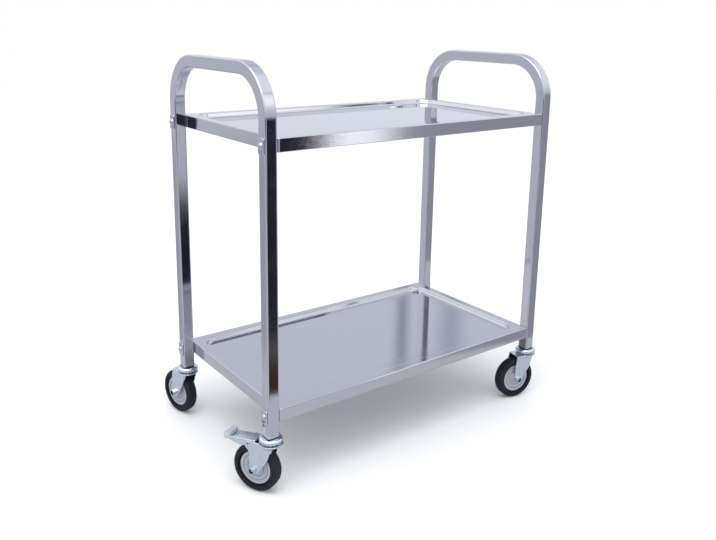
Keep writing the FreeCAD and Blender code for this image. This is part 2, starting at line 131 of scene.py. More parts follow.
def rounded(corners, steps, closed=True):
    """Line through corners given as (a, b, radius). Each corner becomes centre + radius * (u cos t + w sin t),
    with t from nothing to the turn there, and a held point a little way along each straight beside it."""
    corners = np.asarray(corners, float)
    point, radius = corners[:, :2], corners[:, 2:3]
    back = np.roll(point, 1, 0) - point
    ahead = np.roll(point, -1, 0) - point
    if not closed:
        point, radius, back, ahead = point[1:-1], radius[1:-1], back[1:-1], ahead[1:-1]
    back /= np.linalg.norm(back, axis=1, keepdims=True)
    ahead /= np.linalg.norm(ahead, axis=1, keepdims=True)
    half = np.arccos(np.clip((back * ahead).sum(1, keepdims=True), -1, 1)) / 2
    start = point + back * radius / np.tan(half)
    middle = back + ahead
    middle /= np.linalg.norm(middle, axis=1, keepdims=True)
    centre = point + middle * radius / np.sin(half)
    u = (start - centre) / radius
    w = -back
    turn = np.linspace(0, 1, steps)[None, :, None] * (np.pi - 2 * half)[:, :, None]
    arc = centre[:, None] + radius[:, None] * (u[:, None] * np.cos(turn) + w[:, None] * np.sin(turn))
    lead = (start + back * radius * SECTION_HOLD)[:, None]
    tail = (arc[:, -1] + ahead * radius * SECTION_HOLD)[:, None]
    line = np.concatenate([lead, arc, tail], 1).reshape(-1, 2)
    if not closed:
        line = np.concatenate([corners[:1, :2], line, corners[-1:, :2]])
    return line


def rounded_rings(half_a, half_b, radius):
    """Rounded rectangles, one for each entry of the three arrays: corner centre + radius * (cos t, sin t) over
    a quarter turn at each of the four corners, with a held point on the straights beside each arc."""
    half_a, half_b, radius = (np.asarray(v, float)[:, None, None] for v in (half_a, half_b, radius))
    quarter = np.linspace(0, np.pi / 2, 8)
    t = np.concatenate([[0], quarter, [np.pi / 2]])
    slip = np.zeros(len(t))
    slip[0], slip[-1] = -RECTANGLE_HOLD, RECTANGLE_HOLD
    angle = t[None, :] + np.arange(4)[:, None] * np.pi / 2
    side_a = np.array([1, -1, -1, 1])[:, None]
    side_b = np.array([1, 1, -1, -1])[:, None]
    a = side_a * (half_a - radius) + radius * np.cos(angle) - slip * np.sin(angle)
    b = side_b * (half_b - radius) + radius * np.sin(angle) + slip * np.cos(angle)
    return np.stack([a, b], -1).reshape(len(half_a), -1, 2)


def run_length(points, axis):
    """Distance travelled along one direction of a grid, averaged over the other, starting from nothing."""
    step = np.linalg.norm(np.diff(points, axis=axis), axis=2).mean(1 - axis)
    return np.concatenate([[0], np.cumsum(step)])


def shell(points, ring=False, uv=None):
    """Faces of a grid of points: each face joins (r, c), (r, c+1), (r+1, c+1), (r+1, c), and the last column
    joins the first. A ring's last row joins its first too, and otherwise lids close the first and last rows.
    The flat map is the run along the rows and columns, in metres, unless it is given."""
    rows, columns = points.shape[:2]
    r, c = np.meshgrid(np.arange(rows - 1 + ring), np.arange(columns), indexing="ij")
    down = np.stack([r, r, r + 1, r + 1], -1).reshape(-1, 4)
    across = np.stack([c, c + 1, c + 1, c], -1).reshape(-1, 4)
    faces = (down % rows) * columns + across % columns
    lids = np.empty((0, columns), int) if ring else np.arange(columns) + [[0], [(rows - 1) * columns]]
    if uv is None:
        looped = np.pad(points, ((0, int(ring)), (0, 1), (0, 0)), mode="wrap")
        along, around = run_length(looped, 0), run_length(looped, 1)
        uv = np.stack(np.meshgrid(along, around, indexing="ij"), -1)
    flat = uv[down, across].reshape(-1, 2) * MM
    flat = np.concatenate([flat, np.tile(uv[0, 0] * MM, (lids.size, 1))])
    return points.reshape(-1, 3), faces, lids, flat


def piece(name, shells, body, slot, node, inner_wall=None):
    """One closed piece from its shells, in millimetres in the object's frame. It rides on a body, stands for a
    CAD node and takes its slot's finish. The share of painted shade at each point is kept for the finish."""
    points, faces, flats, start = [], [], [], 0
    for verts, quads, lids, flat in shells:
        points.append(verts)
        faces += (quads + start).tolist() + (lids + start).tolist()
        flats.append(flat)
        start += len(verts)
    mesh = bpy.data.meshes.new(name)
    mesh.from_pydata((np.concatenate(points) * MM).tolist(), [], faces)
    layer = mesh.uv_layers.new(name="flat")
    layer.data.foreach_set("uv", np.concatenate(flats).astype(np.float32).ravel())
    if inner_wall is not None:
        mesh.attributes.new("inner_wall", "FLOAT", "POINT").data.foreach_set("value", inner_wall.ravel())
    work = bmesh.new()
    work.from_mesh(mesh)
    bmesh.ops.remove_doubles(work, verts=work.verts, dist=MERGE)
    bmesh.ops.recalc_face_normals(work, faces=work.faces)
    work.to_mesh(mesh)
    work.free()
    mesh.polygons.foreach_set("use_smooth", np.ones(len(mesh.polygons), bool))
    mesh.set_sharp_from_angle(angle=SHARP)
    mesh.materials.append(finishes[slot])
    thing = bpy.data.objects.new(name, mesh)
    bpy.context.scene.collection.objects.link(thing)
    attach(thing, body)
    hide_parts(node)


def full_turn(steps):
    """Angles at even steps round a full circle."""
    return np.linspace(0, 2 * np.pi, steps, endpoint=False)


def about_z(radius, angle, height):
    """Points about Z at (radius cos angle, radius sin angle, height), spread over one grid."""
    return np.stack(np.broadcast_arrays(radius * np.cos(angle), radius * np.sin(angle), height), -1)


def turned(profile, columns):
    """Closed ring turned about Z: the loop of (radius, height) points carried round a full circle."""
    return about_z(profile[:, :1], full_turn(columns), profile[:, 1:])


def plate(loop, height, edge):
    """Flat plate: its outline drawn in by the edge radius at both faces, over a quarter round each."""
    ahead = np.roll(loop, -1, 0) - np.roll(loop, 1, 0)
    inward = np.stack([-ahead[:, 1], ahead[:, 0]], 1)
    inward /= np.linalg.norm(inward, axis=1, keepdims=True)
    t = np.linspace(0, np.pi / 2, 4)
    inset = edge * np.concatenate([1 - np.sin(t), 1 - np.cos(t)])
    level = np.concatenate([edge * (1 - np.cos(t)), height - edge * (1 - np.sin(t))])
    flat = loop[None] + inward[None] * inset[:, None, None]
    return np.concatenate([flat, np.broadcast_to(level[:, None, None], flat.shape[:2] + (1,))], 2)


def hexagon_ring(bore, low, high):
    """Hexagon nut about Z: at each height the radius is the lesser of the hexagon's, half the flats over
    cos(angle from the middle of a flat), and a chamfer cone's, a share of half the flats at both faces that
    widens by a slope away from them. The bore is wider at both faces by a small lead."""
    share, slope, lead = 0.95, 1.7, 0.5
    angle = full_turn(72)
    six = NUT_FLATS / 2 / np.cos((angle + np.pi / 6) % (np.pi / 3) - np.pi / 6)
    depth = np.array([0.0, 0.15, 0.35, 0.6, 0.9, 1.3])
    cone = NUT_FLATS / 2 * share + depth * slope
    side = np.minimum(six[None], cone[:, None])
    hole = bore + lead * np.array([1, 0, 0, 1])[:, None] + 0 * angle
    radius = np.concatenate([side, side[::-1], hole])
    height = np.concatenate([low + depth, high - depth[::-1], [high, high - lead, low + lead, low]])
    return about_z(radius, angle, height[:, None])


def threaded_rod(low, high):
    """Screw thread about Z: radius less depth times a triangle wave of (height / pitch - turn), running out to
    the full depth over one pitch at both ends."""
    angle = full_turn(24)
    rows_a_pitch = 6
    height = np.linspace(low, high, int((high - low) / THREAD_PITCH * rows_a_pitch))[:, None]
    wave = np.abs((height / THREAD_PITCH - angle / (2 * np.pi)) % 1.0 * 2 - 1)
    taper = np.clip(np.minimum(height - low, high - height) / THREAD_PITCH, 0, 1)
    return about_z(BOLT_RADIUS - THREAD_DEPTH * (wave * taper + 1 - taper), angle, height)


def laid_on_axle(points):
    """A piece drawn about Z, laid along +Y and moved onto the wheel axle: (x, y, z) to (x, z, -y)."""
    return np.stack([points[..., 0] + TRAIL, points[..., 2], WHEEL_RADIUS - points[..., 1]], -1)


def at_caster(points, name):
    """A piece drawn trailing along +X, turned about Z to the caster's angle and moved under its leg."""
    side, end, degrees, _ = CASTERS[name]
    turn = math.radians(degrees)
    x, y, z = points[..., 0], points[..., 1], points[..., 2]
    return np.stack([
        x * math.cos(turn) - y * math.sin(turn) + side * STEM_X,
        x * math.sin(turn) + y * math.cos(turn) + end * STEM_Y + LEGS_SHIFT,
        z,
    ], -1)


def at_corners(points, shelf_top):
    """A piece drawn about Z on a leg's face, turned to face out of each leg's outer side: (x, y, z) goes to
    (side * (z + half the length), y, -x) at the four corners of a shelf."""
    x, y, z = points[..., 0], points[..., 1], points[..., 2]
    return [np.stack([side * (z + LENGTH / 2), y + end * STEM_Y + LEGS_SHIFT, shelf_top - BOLT_DROP - x], -1)
            for side in (-1, 1) for end in (-1, 1)]


def linear(code):
    """An sRGB hex colour as linear red, green, blue and a full alpha."""
    parts = [int(code[i:i + 2], 16) / 255 for i in (1, 3, 5)]
    return tuple(p / 12.92 if p <= 0.04045 else ((p + 0.055) / 1.055) ** 2.4 for p in parts) + (1.0,)


def add(tree, kind, inputs=(), **settings):
    """One node with its settings, and its inputs as fixed values or as links given as (node, output)."""
    node = tree.nodes.new(kind)
    for name, value in settings.items():
        setattr(node, name, value)
    for key, value in dict(inputs).items():
        if isinstance(value, tuple) and isinstance(value[0], bpy.types.Node):
            tree.links.new(value[0].outputs[value[1]], node.inputs[key])
        else:
            node.inputs[key].default_value = value
    return node


def finish(name):
    """An empty material, and the tree to add its nodes to."""
    material = bpy.data.materials.new(name)
    material.use_nodes = True
    material.node_tree.nodes.clear()
    return material, material.node_tree


def polished_tube():
    """Cold-drawn stainless tube, belt-polished along its length: a bright mirror that is drawn out by fine
    lines along the tube, with duller clouds where it has been handled."""
    material, tree = finish("polished_stainless_tube")
    uv = add(tree, "ShaderNodeUVMap", uv_map="flat")
    # Belt lines are about 0.1 mm apart; drawn 0.6 mm apart and 70 mm long so that they show.
    lines = add(tree, "ShaderNodeMapping", {"Vector": (uv, "UV"), "Scale": (1 / (70 * MM), 1 / (0.6 * MM), 1)})
    grain = add(tree, "ShaderNodeTexNoise", {"Vector": (lines, "Vector"), "Scale": 1.0, "Detail": 3.0,
                                             "Roughness": 0.6})
    place = add(tree, "ShaderNodeTexCoord")
    # Clouds of handling marks about 45 mm across.
    clouds = add(tree, "ShaderNodeTexNoise", {"Vector": (place, "Object"), "Scale": 1 / (45 * MM),
                                              "Detail": 4.0})
    dull = add(tree, "ShaderNodeMapRange", {"Value": (clouds, "Fac"), "From Min": 0.35, "From Max": 0.7,
                                            "To Min": 0.04, "To Max": 0.07})
    rough = add(tree, "ShaderNodeMath", {0: (grain, "Fac"), 1: 0.05, 2: (dull, "Result")},
                operation="MULTIPLY_ADD")
    tint = add(tree, "ShaderNodeMix", {SHARE: (grain, "Fac"), FIRST: linear("#B9BAC4"),
                                       SECOND: linear("#CDCED6")}, data_type="RGBA")
    bump = add(tree, "ShaderNodeBump", {"Height": (grain, "Fac"), "Strength": 0.05, "Distance": 0.2 * MM})
    shader = add(tree, "ShaderNodeBsdfPrincipled", {
        "Base Color": (tint, MIXED), "Metallic": 1.0, "Roughness": (rough, "Value"),
        "Normal": (bump, "Normal")})
    add(tree, "ShaderNodeOutputMaterial", {"Surface": (shader, "BSDF")})
    return material


def brushed_sheet():
    """Stainless sheet with a bright, finely brushed finish, grain along the trolley: clear reflections a little
    drawn out across the grain, and a few faint scratches where things have been slid over it."""
    material, tree = finish("brushed_stainless_sheet")
    uv = add(tree, "ShaderNodeUVMap", uv_map="flat")
    # Brush lines are about 0.15 mm apart; drawn 0.7 mm apart and 90 mm long so that they show.
    lines = add(tree, "ShaderNodeMapping", {"Vector": (uv, "UV"), "Scale": (1 / (90 * MM), 1 / (0.7 * MM), 1)})
    grain = add(tree, "ShaderNodeTexNoise", {"Vector": (lines, "Vector"), "Scale": 1.0, "Detail": 4.0,
                                             "Roughness": 0.65})
    place = add(tree, "ShaderNodeTexCoord")
    # Scratches: thin bands where a noise of 80 mm crosses its middle.
    wander = add(tree, "ShaderNodeTexNoise", {"Vector": (place, "Object"), "Scale": 1 / (80 * MM),
                                              "Detail": 5.0, "Distortion": 1.2})
    near = add(tree, "ShaderNodeMath", {0: (wander, "Fac"), 1: 0.5}, operation="SUBTRACT")
    apart = add(tree, "ShaderNodeMath", {0: (near, "Value")}, operation="ABSOLUTE")
    scratch = add(tree, "ShaderNodeMapRange", {"Value": (apart, "Value"), "From Min": 0.0, "From Max": 0.004,
                                               "To Min": 0.05, "To Max": 0.0})
    rough = add(tree, "ShaderNodeMapRange", {"Value": (grain, "Fac"), "From Min": 0.3, "From Max": 0.7,
                                             "To Min": 0.045, "To Max": 0.08})
    worn = add(tree, "ShaderNodeMath", {0: (rough, "Result"), 1: (scratch, "Result")}, operation="ADD")
    tint = add(tree, "ShaderNodeMix", {SHARE: (grain, "Fac"), FIRST: linear("#BDBEC6"),
                                       SECOND: linear("#D0D1D8")}, data_type="RGBA")
    bump = add(tree, "ShaderNodeBump", {"Height": (grain, "Fac"), "Strength": 0.12, "Distance": 0.2 * MM})
    shader = add(tree, "ShaderNodeBsdfPrincipled", {
        "Base Color": (tint, MIXED), "Metallic": 1.0, "Roughness": (worn, "Value"),
        "Normal": (bump, "Normal")})
    add(tree, "ShaderNodeOutputMaterial", {"Surface": (shader, "BSDF")})
    return material


def bright_bolt():
    """Turned stainless bolt steel: bright, with fine turning marks."""
    material, tree = finish("turned_stainless_bolt")
    place = add(tree, "ShaderNodeTexCoord")
    # Turning marks are about 0.1 mm apart; drawn 1.2 mm apart, with finer ones in them, so that they show.
    marks = add(tree, "ShaderNodeTexNoise", {"Vector": (place, "Object"), "Scale": 1 / (1.2 * MM),
                                             "Detail": 3.0})
    rough = add(tree, "ShaderNodeMapRange", {"Value": (marks, "Fac"), "From Min": 0.3, "From Max": 0.7,
                                             "To Min": 0.07, "To Max": 0.13})
    tint = add(tree, "ShaderNodeMix", {SHARE: (marks, "Fac"), FIRST: linear("#AEB0BA"),
                                       SECOND: linear("#CCCED6")}, data_type="RGBA")
    shader = add(tree, "ShaderNodeBsdfPrincipled", {
        "Base Color": (tint, MIXED), "Metallic": 1.0, "Roughness": (rough, "Result")})
    add(tree, "ShaderNodeOutputMaterial", {"Surface": (shader, "BSDF")})
    return material


def zinc_plate():
    """Pressed steel with bright blue zinc plating: a shiny bluish silver with faint clouds. A lock nut is
    painted dark in its bore where the piece's shade attribute is one: its nylon ring, and painted shade in the
    hole."""
    material, tree = finish("bright_zinc_plated_steel")
    place = add(tree, "ShaderNodeTexCoord")
    # Passivation clouds about 9 mm across.
    clouds = add(tree, "ShaderNodeTexNoise", {"Vector": (place, "Object"), "Scale": 1 / (9 * MM),
                                              "Detail": 4.0})
    # Plating sparkle is about 0.05 mm; drawn at 0.8 mm so that it shows.
    grit = add(tree, "ShaderNodeTexNoise", {"Vector": (place, "Object"), "Scale": 1 / (0.8 * MM),
                                            "Detail": 2.0})
    plating = add(tree, "ShaderNodeMix", {SHARE: (clouds, "Fac"), FIRST: linear("#C3CEDA"),
                                          SECOND: linear("#E0E8EF")}, data_type="RGBA")
    rough = add(tree, "ShaderNodeMapRange", {"Value": (clouds, "Fac"), "From Min": 0.3, "From Max": 0.7,
                                             "To Min": 0.15, "To Max": 0.24})
    bump = add(tree, "ShaderNodeBump", {"Height": (grit, "Fac"), "Strength": 0.03, "Distance": 0.2 * MM})
    # Painted shade in a lock nut's bore, which also stands for its nylon ring.
    nylon_and_bore_shade = add(tree, "ShaderNodeAttribute", attribute_name="inner_wall")
    tint = add(tree, "ShaderNodeMix", {SHARE: (nylon_and_bore_shade, "Fac"), FIRST: (plating, MIXED),
                                       SECOND: linear("#22232E")}, data_type="RGBA")
    shader = add(tree, "ShaderNodeBsdfPrincipled", {
        "Base Color": (tint, MIXED), "Metallic": 1.0, "Roughness": (rough, "Result"),
        "Normal": (bump, "Normal")})
    add(tree, "ShaderNodeOutputMaterial", {"Surface": (shader, "BSDF")})
    return material


def moulded(name, colours, rough, grit, clouds, gloss, inner=None):
    """Plastic or rubber from a mould: a spark-eroded grit over it, slow clouds between two colours, and
    roughness that follows the clouds. Grit and clouds are given in millimetres. An inner colour of painted
    shade shows where the piece's shade attribute is one."""
    material, tree = finish(name)
    place = add(tree, "ShaderNodeTexCoord")
    cloudy = add(tree, "ShaderNodeTexNoise", {"Vector": (place, "Object"), "Scale": 1 / (clouds * MM),
                                              "Detail": 5.0})
    # Spark-eroded grit is about 0.05 mm; it is drawn near 1 mm so that it shows.
    gritty = add(tree, "ShaderNodeTexNoise", {"Vector": (place, "Object"), "Scale": 1 / (grit * MM),
                                              "Detail": 2.0})
    tint = add(tree, "ShaderNodeMix", {SHARE: (cloudy, "Fac"), FIRST: linear(colours[0]),
                                       SECOND: linear(colours[1])}, data_type="RGBA")
    dull = add(tree, "ShaderNodeMapRange", {"Value": (cloudy, "Fac"), "From Min": 0.3, "From Max": 0.7,
                                            "To Min": rough[0], "To Max": rough[1]})
    bump = add(tree, "ShaderNodeBump", {"Height": (gritty, "Fac"), "Strength": 0.1, "Distance": 0.2 * MM})
    # Painted shade: the inner colour where the piece's shade attribute is one.
    if inner:
        wall = add(tree, "ShaderNodeAttribute", attribute_name="inner_wall")
        tint = add(tree, "ShaderNodeMix", {SHARE: (wall, "Fac"), FIRST: (tint, MIXED), SECOND: linear(inner)},
                   data_type="RGBA")
    shader = add(tree, "ShaderNodeBsdfPrincipled", {
        "Base Color": (tint, MIXED), "Roughness": (dull, "Result"), "Specular IOR Level": gloss,
        "Normal": (bump, "Normal")})
    add(tree, "ShaderNodeOutputMaterial", {"Surface": (shader, "BSDF")})
    return material


finishes = {
    "stainless_tube": polished_tube(),
    "stainless_sheet": brushed_sheet(),
    "bolt_steel": bright_bolt(),
    "zinc_steel": zinc_plate(),
    # Grey moulded polypropylene wheel centres: matt, with flow clouds, and painted shade in the fine lines.
    "grey_plastic": moulded("moulded_grey_polypropylene", ("#9699A6", "#B5B7C2"), rough=(0.38, 0.52),
                            grit=1.2, clouds=20, gloss=0.5, inner="#4C4F5C"),
    # Pale grey moulded pad: silky.
    "pale_plastic": moulded("moulded_pale_polyamide", ("#A6A8B1", "#BDBFC7"), rough=(0.4, 0.55),
                            grit=1.0, clouds=12, gloss=0.4),
    # Black moulded polyethylene plug: slightly waxy.
    "black_plastic": moulded("moulded_black_polyethylene", ("#0C0C10", "#17171C"), rough=(0.35, 0.5),
                             grit=1.0, clouds=10, gloss=0.3),
    # Thermoplastic rubber tread: charcoal, dusty where it has rolled, and painted black round the rim as
    # painted shade on its inner wall.
    "tyre_rubber": moulded("moulded_charcoal_rubber", ("#17181F", "#2B2C36"), rough=(0.42, 0.58),
                           grit=0.9, clouds=14, gloss=0.15, inner="#08080A"),
    # Black rubber brake shoe: dull.
    "black_rubber": moulded("moulded_black_rubber", ("#121215", "#1E1E22"), rough=(0.6, 0.75),
                            grit=0.8, clouds=10, gloss=0.15),
}

# Finish of each CAD node by the end of its name. The rest are zinc-plated.
NODE_SLOTS = {
    "end_frame": "stainless_tube", "shelf": "stainless_sheet", "shelf_bolts": "bolt_steel",
    "shelf_plates": "stainless_tube", "shelf_nuts": "bolt_steel", "leg_plug": "black_plastic",
    "wheel_hub": "grey_plastic", "wheel_tyre": "tyre_rubber", "brake_tip": "pale_plastic",
    "brake_shoe": "black_rubber",
}
for node_name, node_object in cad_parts.items():
    ending = [slot for tail, slot in NODE_SLOTS.items() if node_name.endswith("_" + tail)]
    node_object.data.materials.clear()
    node_object.data.materials.append(finishes[ending[0] if ending else "zinc_steel"])


def end_frame(side):
    """Rounded square section carried up one leg, round a bend, along the grip, round a bend and down the other
    leg; the inner wall goes back the same way, and the two join at the leg ends."""
    turn = np.linspace(0, np.pi / 2, 29)
    grip = STEM_Y - BEND_RADIUS
    bend = HEIGHT - TUBE / 2 - BEND_RADIUS
    rise = np.array([LEG_FOOT, LEG_FOOT + 0.6, LEG_FOOT + 60, 300, 500, 680, bend - TUBE_HOLD])
    leg = np.ones(len(rise))
    run = np.array([TUBE_HOLD - grip, 0, grip - TUBE_HOLD])
    level = np.ones(len(run))
    y = np.concatenate([-STEM_Y * leg, -grip - BEND_RADIUS * np.cos(turn), run,
                        grip + BEND_RADIUS * np.sin(turn), STEM_Y * leg])
    z = np.concatenate([rise, bend + BEND_RADIUS * np.sin(turn), (HEIGHT - TUBE / 2) * level,
                        bend + BEND_RADIUS * np.cos(turn), rise[::-1]])
    lean = np.concatenate([0 * leg, turn, np.pi / 2 * level, np.pi / 2 + turn, np.pi * leg])
    out_y, out_z = -np.cos(lean), np.sin(lean)

    def wall(half, corner):
        loop = rounded_rings([half], [half], [corner])[0]
        across, outward = loop[:, 0], loop[:, 1]
        return np.stack([side * STEM_X + across + 0 * y[:, None],
                         y[:, None] + outward * out_y[:, None] + LEGS_SHIFT,
                         z[:, None] + outward * out_z[:, None]], -1)

    outer = wall(TUBE / 2, TUBE_CORNER)
    inner = wall(TUBE / 2 - TUBE_WALL, TUBE_CORNER - TUBE_WALL)
    return np.concatenate([outer, inner[::-1]])


for name, side in (("left", -1), ("right", 1)):
    piece(name + "_bent_tube", [shell(end_frame(side), ring=True)], "frame", "stainless_tube",
          name + "_end_frame")


def pressed_shelf(top):
    """Section of the pressing carried round rounded rectangles: pan floor, drafted wall, lip, flat border,
    fold, skirt and hem, then back along the underside one sheet thickness away. The flat map is the blank
    before folding: x and y moved out by the drop of the skirt."""
    line = rounded([(PAN_FLOOR, -PAN_DEPTH, 0), (PAN_BORDER + PAN_DRAFT, -PAN_DEPTH, 5), (PAN_BORDER, 0, 3),
                    (0, 0, 2), (0, -SKIRT, 1.4), (HEM, -SKIRT, 0)], steps=9, closed=False)
    ahead = np.gradient(line, axis=0)
    ahead /= np.linalg.norm(ahead, axis=1, keepdims=True)
    under = line + SHEET * np.stack([-ahead[:, 1], ahead[:, 0]], 1)
    rows = np.concatenate([line, under[::-1]])
    inset, level = rows[:, 0], rows[:, 1]
    # Corners seen from above: tight at the fold, wide at the pan's lip, tight again inside, and tight on all of
    # the skirt and hem, which are the only parts below the pan.
    corner = np.interp(inset, [-1, 2, 16.5, PAN_FLOOR], [5, 2.5, 35.5, 6])
    corner = np.where(level < -PAN_DEPTH - 5, np.clip(4 - inset, 1.2, 5), corner)
    half = np.array([LENGTH / 2 - TUBE, WIDTH / 2])
    rings = rounded_rings(half[0] - inset, half[1] - inset, corner)
    height = np.broadcast_to((top + level)[:, None, None], rings.shape[:2] + (1,))
    points = np.concatenate([rings + [0, LEGS_SHIFT], height], 2)
    # Within a millimetre of a side a point unfolds past it by its full drop, and 4 mm inside it not at all.
    drop = np.where(inset < 2.5, -level, 0)[:, None, None]
    reach = np.clip((np.abs(rings) - (half - 4)) / 3, 0, 1) * np.sign(rings)
    blank = np.pad(rings + drop * reach, ((0, 0), (0, 1), (0, 0)), mode="wrap")
    return shell(points, uv=blank)


for level, shelf_top in SHELF_TOPS.items():
    piece(level + "_pressed_shelf", [pressed_shelf(shelf_top)], "frame", "stainless_sheet", level + "_shelf")


def dome_bolt():
    """Dome head turned about Z, from a small flat at its crown over a spherical cap to its underside. The
    sphere's radius is (head radius squared + head height squared) / (2 * head height)."""
    curve = (HEAD_RADIUS ** 2 + HEAD_HEIGHT ** 2) / (2 * HEAD_HEIGHT)
    reach = np.linspace(0.04, math.asin(HEAD_RADIUS / curve), 14)
    cap = np.stack([curve * np.sin(reach), PLATE_THICK + HEAD_HEIGHT - curve + curve * np.cos(reach)], 1)
    rim = np.array([[HEAD_RADIUS - 0.1, PLATE_THICK], [BOLT_RADIUS - 0.2, PLATE_THICK]])
    return turned(np.concatenate([cap, rim]), columns=40)


def bolt_shells(shelf_top):
    """Heads and threaded shanks of one shelf's four bolts."""
    shank = threaded_rod(-(TUBE + SHEET + NUT_HEIGHT + BOLT_TIP), PLATE_THICK)
    return [shell(p) for drawn in (dome_bolt(), shank) for p in at_corners(drawn, shelf_top)]


for level, shelf_top in SHELF_TOPS.items():
    piece(level + "_dome_bolts", bolt_shells(shelf_top), "frame", "bolt_steel", level + "_shelf_bolts")
    outline = rounded_rings([PLATE_LENGTH / 2], [PLATE_WIDTH / 2], [PLATE_CORNER])[0]
    backing = plate(outline, PLATE_THICK, PLATE_EDGE)
    piece(level + "_corner_plates", [shell(p) for p in at_corners(backing, shelf_top)], "frame",
          "stainless_tube", level + "_shelf_plates")
    nut = hexagon_ring(NUT_BORE, -TUBE - SHEET - NUT_HEIGHT, -TUBE - SHEET)
    piece(level + "_weld_nuts", [shell(p, ring=True) for p in at_corners(nut, shelf_top)], "frame",
          "bolt_steel", level + "_shelf_nuts")


def cup_profile():
    """Half section of the domed upper race: a rounded loop through bore, ceiling, skirt and dome."""
    bore, inside, outside = 5.55, 21.5, 23.5
    low, ceiling = CUP_TOP - 7.0, CUP_TOP - 3.5
    return rounded([(bore, ceiling, 0.2), (inside, ceiling, 1.6), (inside, low, 0.4), (outside, low, 0.4),
                    (outside, CUP_TOP, 5.0), (bore, CUP_TOP, 0.3)], steps=9)


def ball_race():
    """Fifteen balls on a ring, with a cage wire between them: the bead's radius is the greater of the wire's
    and the root of ball radius squared less the squared distance along the ring to the nearest ball."""
    balls, ball, wire, ring_radius = 15, 3.3, 0.9, 17.0
    angle = full_turn(balls * 16)
    pitch = 2 * np.pi / balls
    along = ((angle + pitch / 2) % pitch - pitch / 2) * ring_radius
    bead = np.sqrt(np.maximum(ball ** 2 - along ** 2, wire ** 2))
    turn = full_turn(20)[:, None]
    return about_z(ring_radius + bead * np.cos(turn), angle, CROWN_TOP + ball + bead * np.sin(turn))


def both_sides(face, crown=()):
    """Corners of a half section: one side's, those between, and the first ones again on the other side."""
    return [*face, *crown, *((r, -w, corner) for r, w, corner in reversed(face))]


def hub_profile():
    """Half section of the wheel centre: rim, sunk face with a raised ring and two fine lines, cone and boss."""
    floor = HUB_FACE - HUB_LINE
    face = [(34.0, 9.0, 0.7), (29.5, 9.0, 0.7), (29.5, HUB_FACE, 0.5), (27.6, HUB_FACE, 0.1),
            (26.9, floor, 0.1), (26.2, HUB_FACE, 0.1), (22.95, HUB_FACE, 0.2), (22.95, 8.2, 0.4),
            (20.55, 8.2, 0.4), (20.55, HUB_FACE, 0.2), (18.5, HUB_FACE, 0.1), (17.8, floor, 0.1),
            (17.1, HUB_FACE, 0.1), (14.0, HUB_FACE, 0.8), (10.0, 14.2, 0.8), (6.06, 14.2, 0.3)]
    return rounded(both_sides(face), steps=5)


def tyre_profile():
    """Half section of the tread ring: stepped side, moulded line round the side, round shoulder and crown."""
    face = [(34.05, 9.0, 0.2), (39.05, 12.5, 2.6), (42.0, 12.5, 0.15), (42.4, 12.1, 0.15),
            (42.8, 12.5, 0.15), (49.2, 12.5, 6.4), (49.7, 3.2, 0.2)]
    return rounded(both_sides(face, [(49.5, 2.7, 0.2), (49.5, -2.7, 0.2)]), steps=7)


def ribbed_pad():
    """Superellipse section, |x / a| to the fifth plus |z / b| to the fifth is one, carried across the pedal and
    drawn in at both ends, over a quarter round of its own for x and for z. Its top is grooved by
    depth * (1 - cos(2 pi x / pitch)) / 2, and it is turned down about the pivot by the pedal's droop."""
    half_x, half_y, half_z = PAD_HALF
    t = full_turn(192)
    unit_x, unit_z = (np.sign(v) * np.abs(v) ** (2 / 5) for v in (np.cos(t), np.sin(t)))
    depth = np.array([0, 0.08, 0.3, 0.7, 1.2, 1.8, 2.4, 3.0, 3.7, 4.4, 5.0])
    end = np.repeat([-1, 1], len(depth))
    depth = np.concatenate([depth, depth[::-1]])
    corner, edge = (r - np.sqrt(r ** 2 - np.clip(r - depth, 0, r) ** 2) for r in PAD_ENDS)
    x = (half_x - corner[:, None]) * unit_x
    y = ((half_y - depth) * end)[:, None]
    z = (half_z - edge[:, None]) * unit_z
    top = np.clip((unit_z - 0.8) / 0.2, 0, 1)
    z = z - RIB_DEPTH * top * (1 - np.cos(2 * np.pi * x / RIB_PITCH)) / 2
    ahead, up = x + PAD_PLACE[0], z + PAD_PLACE[1]
    turned_x = PIVOT[0] + ahead * math.cos(PEDAL_DROOP) + up * math.sin(PEDAL_DROOP)
    turned_z = PIVOT[1] + up * math.cos(PEDAL_DROOP) - ahead * math.sin(PEDAL_DROOP)
    return np.stack([turned_x, y + 0 * turned_x, turned_z], -1)


def caster_ring(name, title, points, body, slot, node, inner_wall=None):
    """A ring drawn trailing along +X, as a piece of one caster."""
    piece(name + "_" + title, [shell(at_caster(points, name), ring=True)], body, slot, name + "_" + node,
          inner_wall)


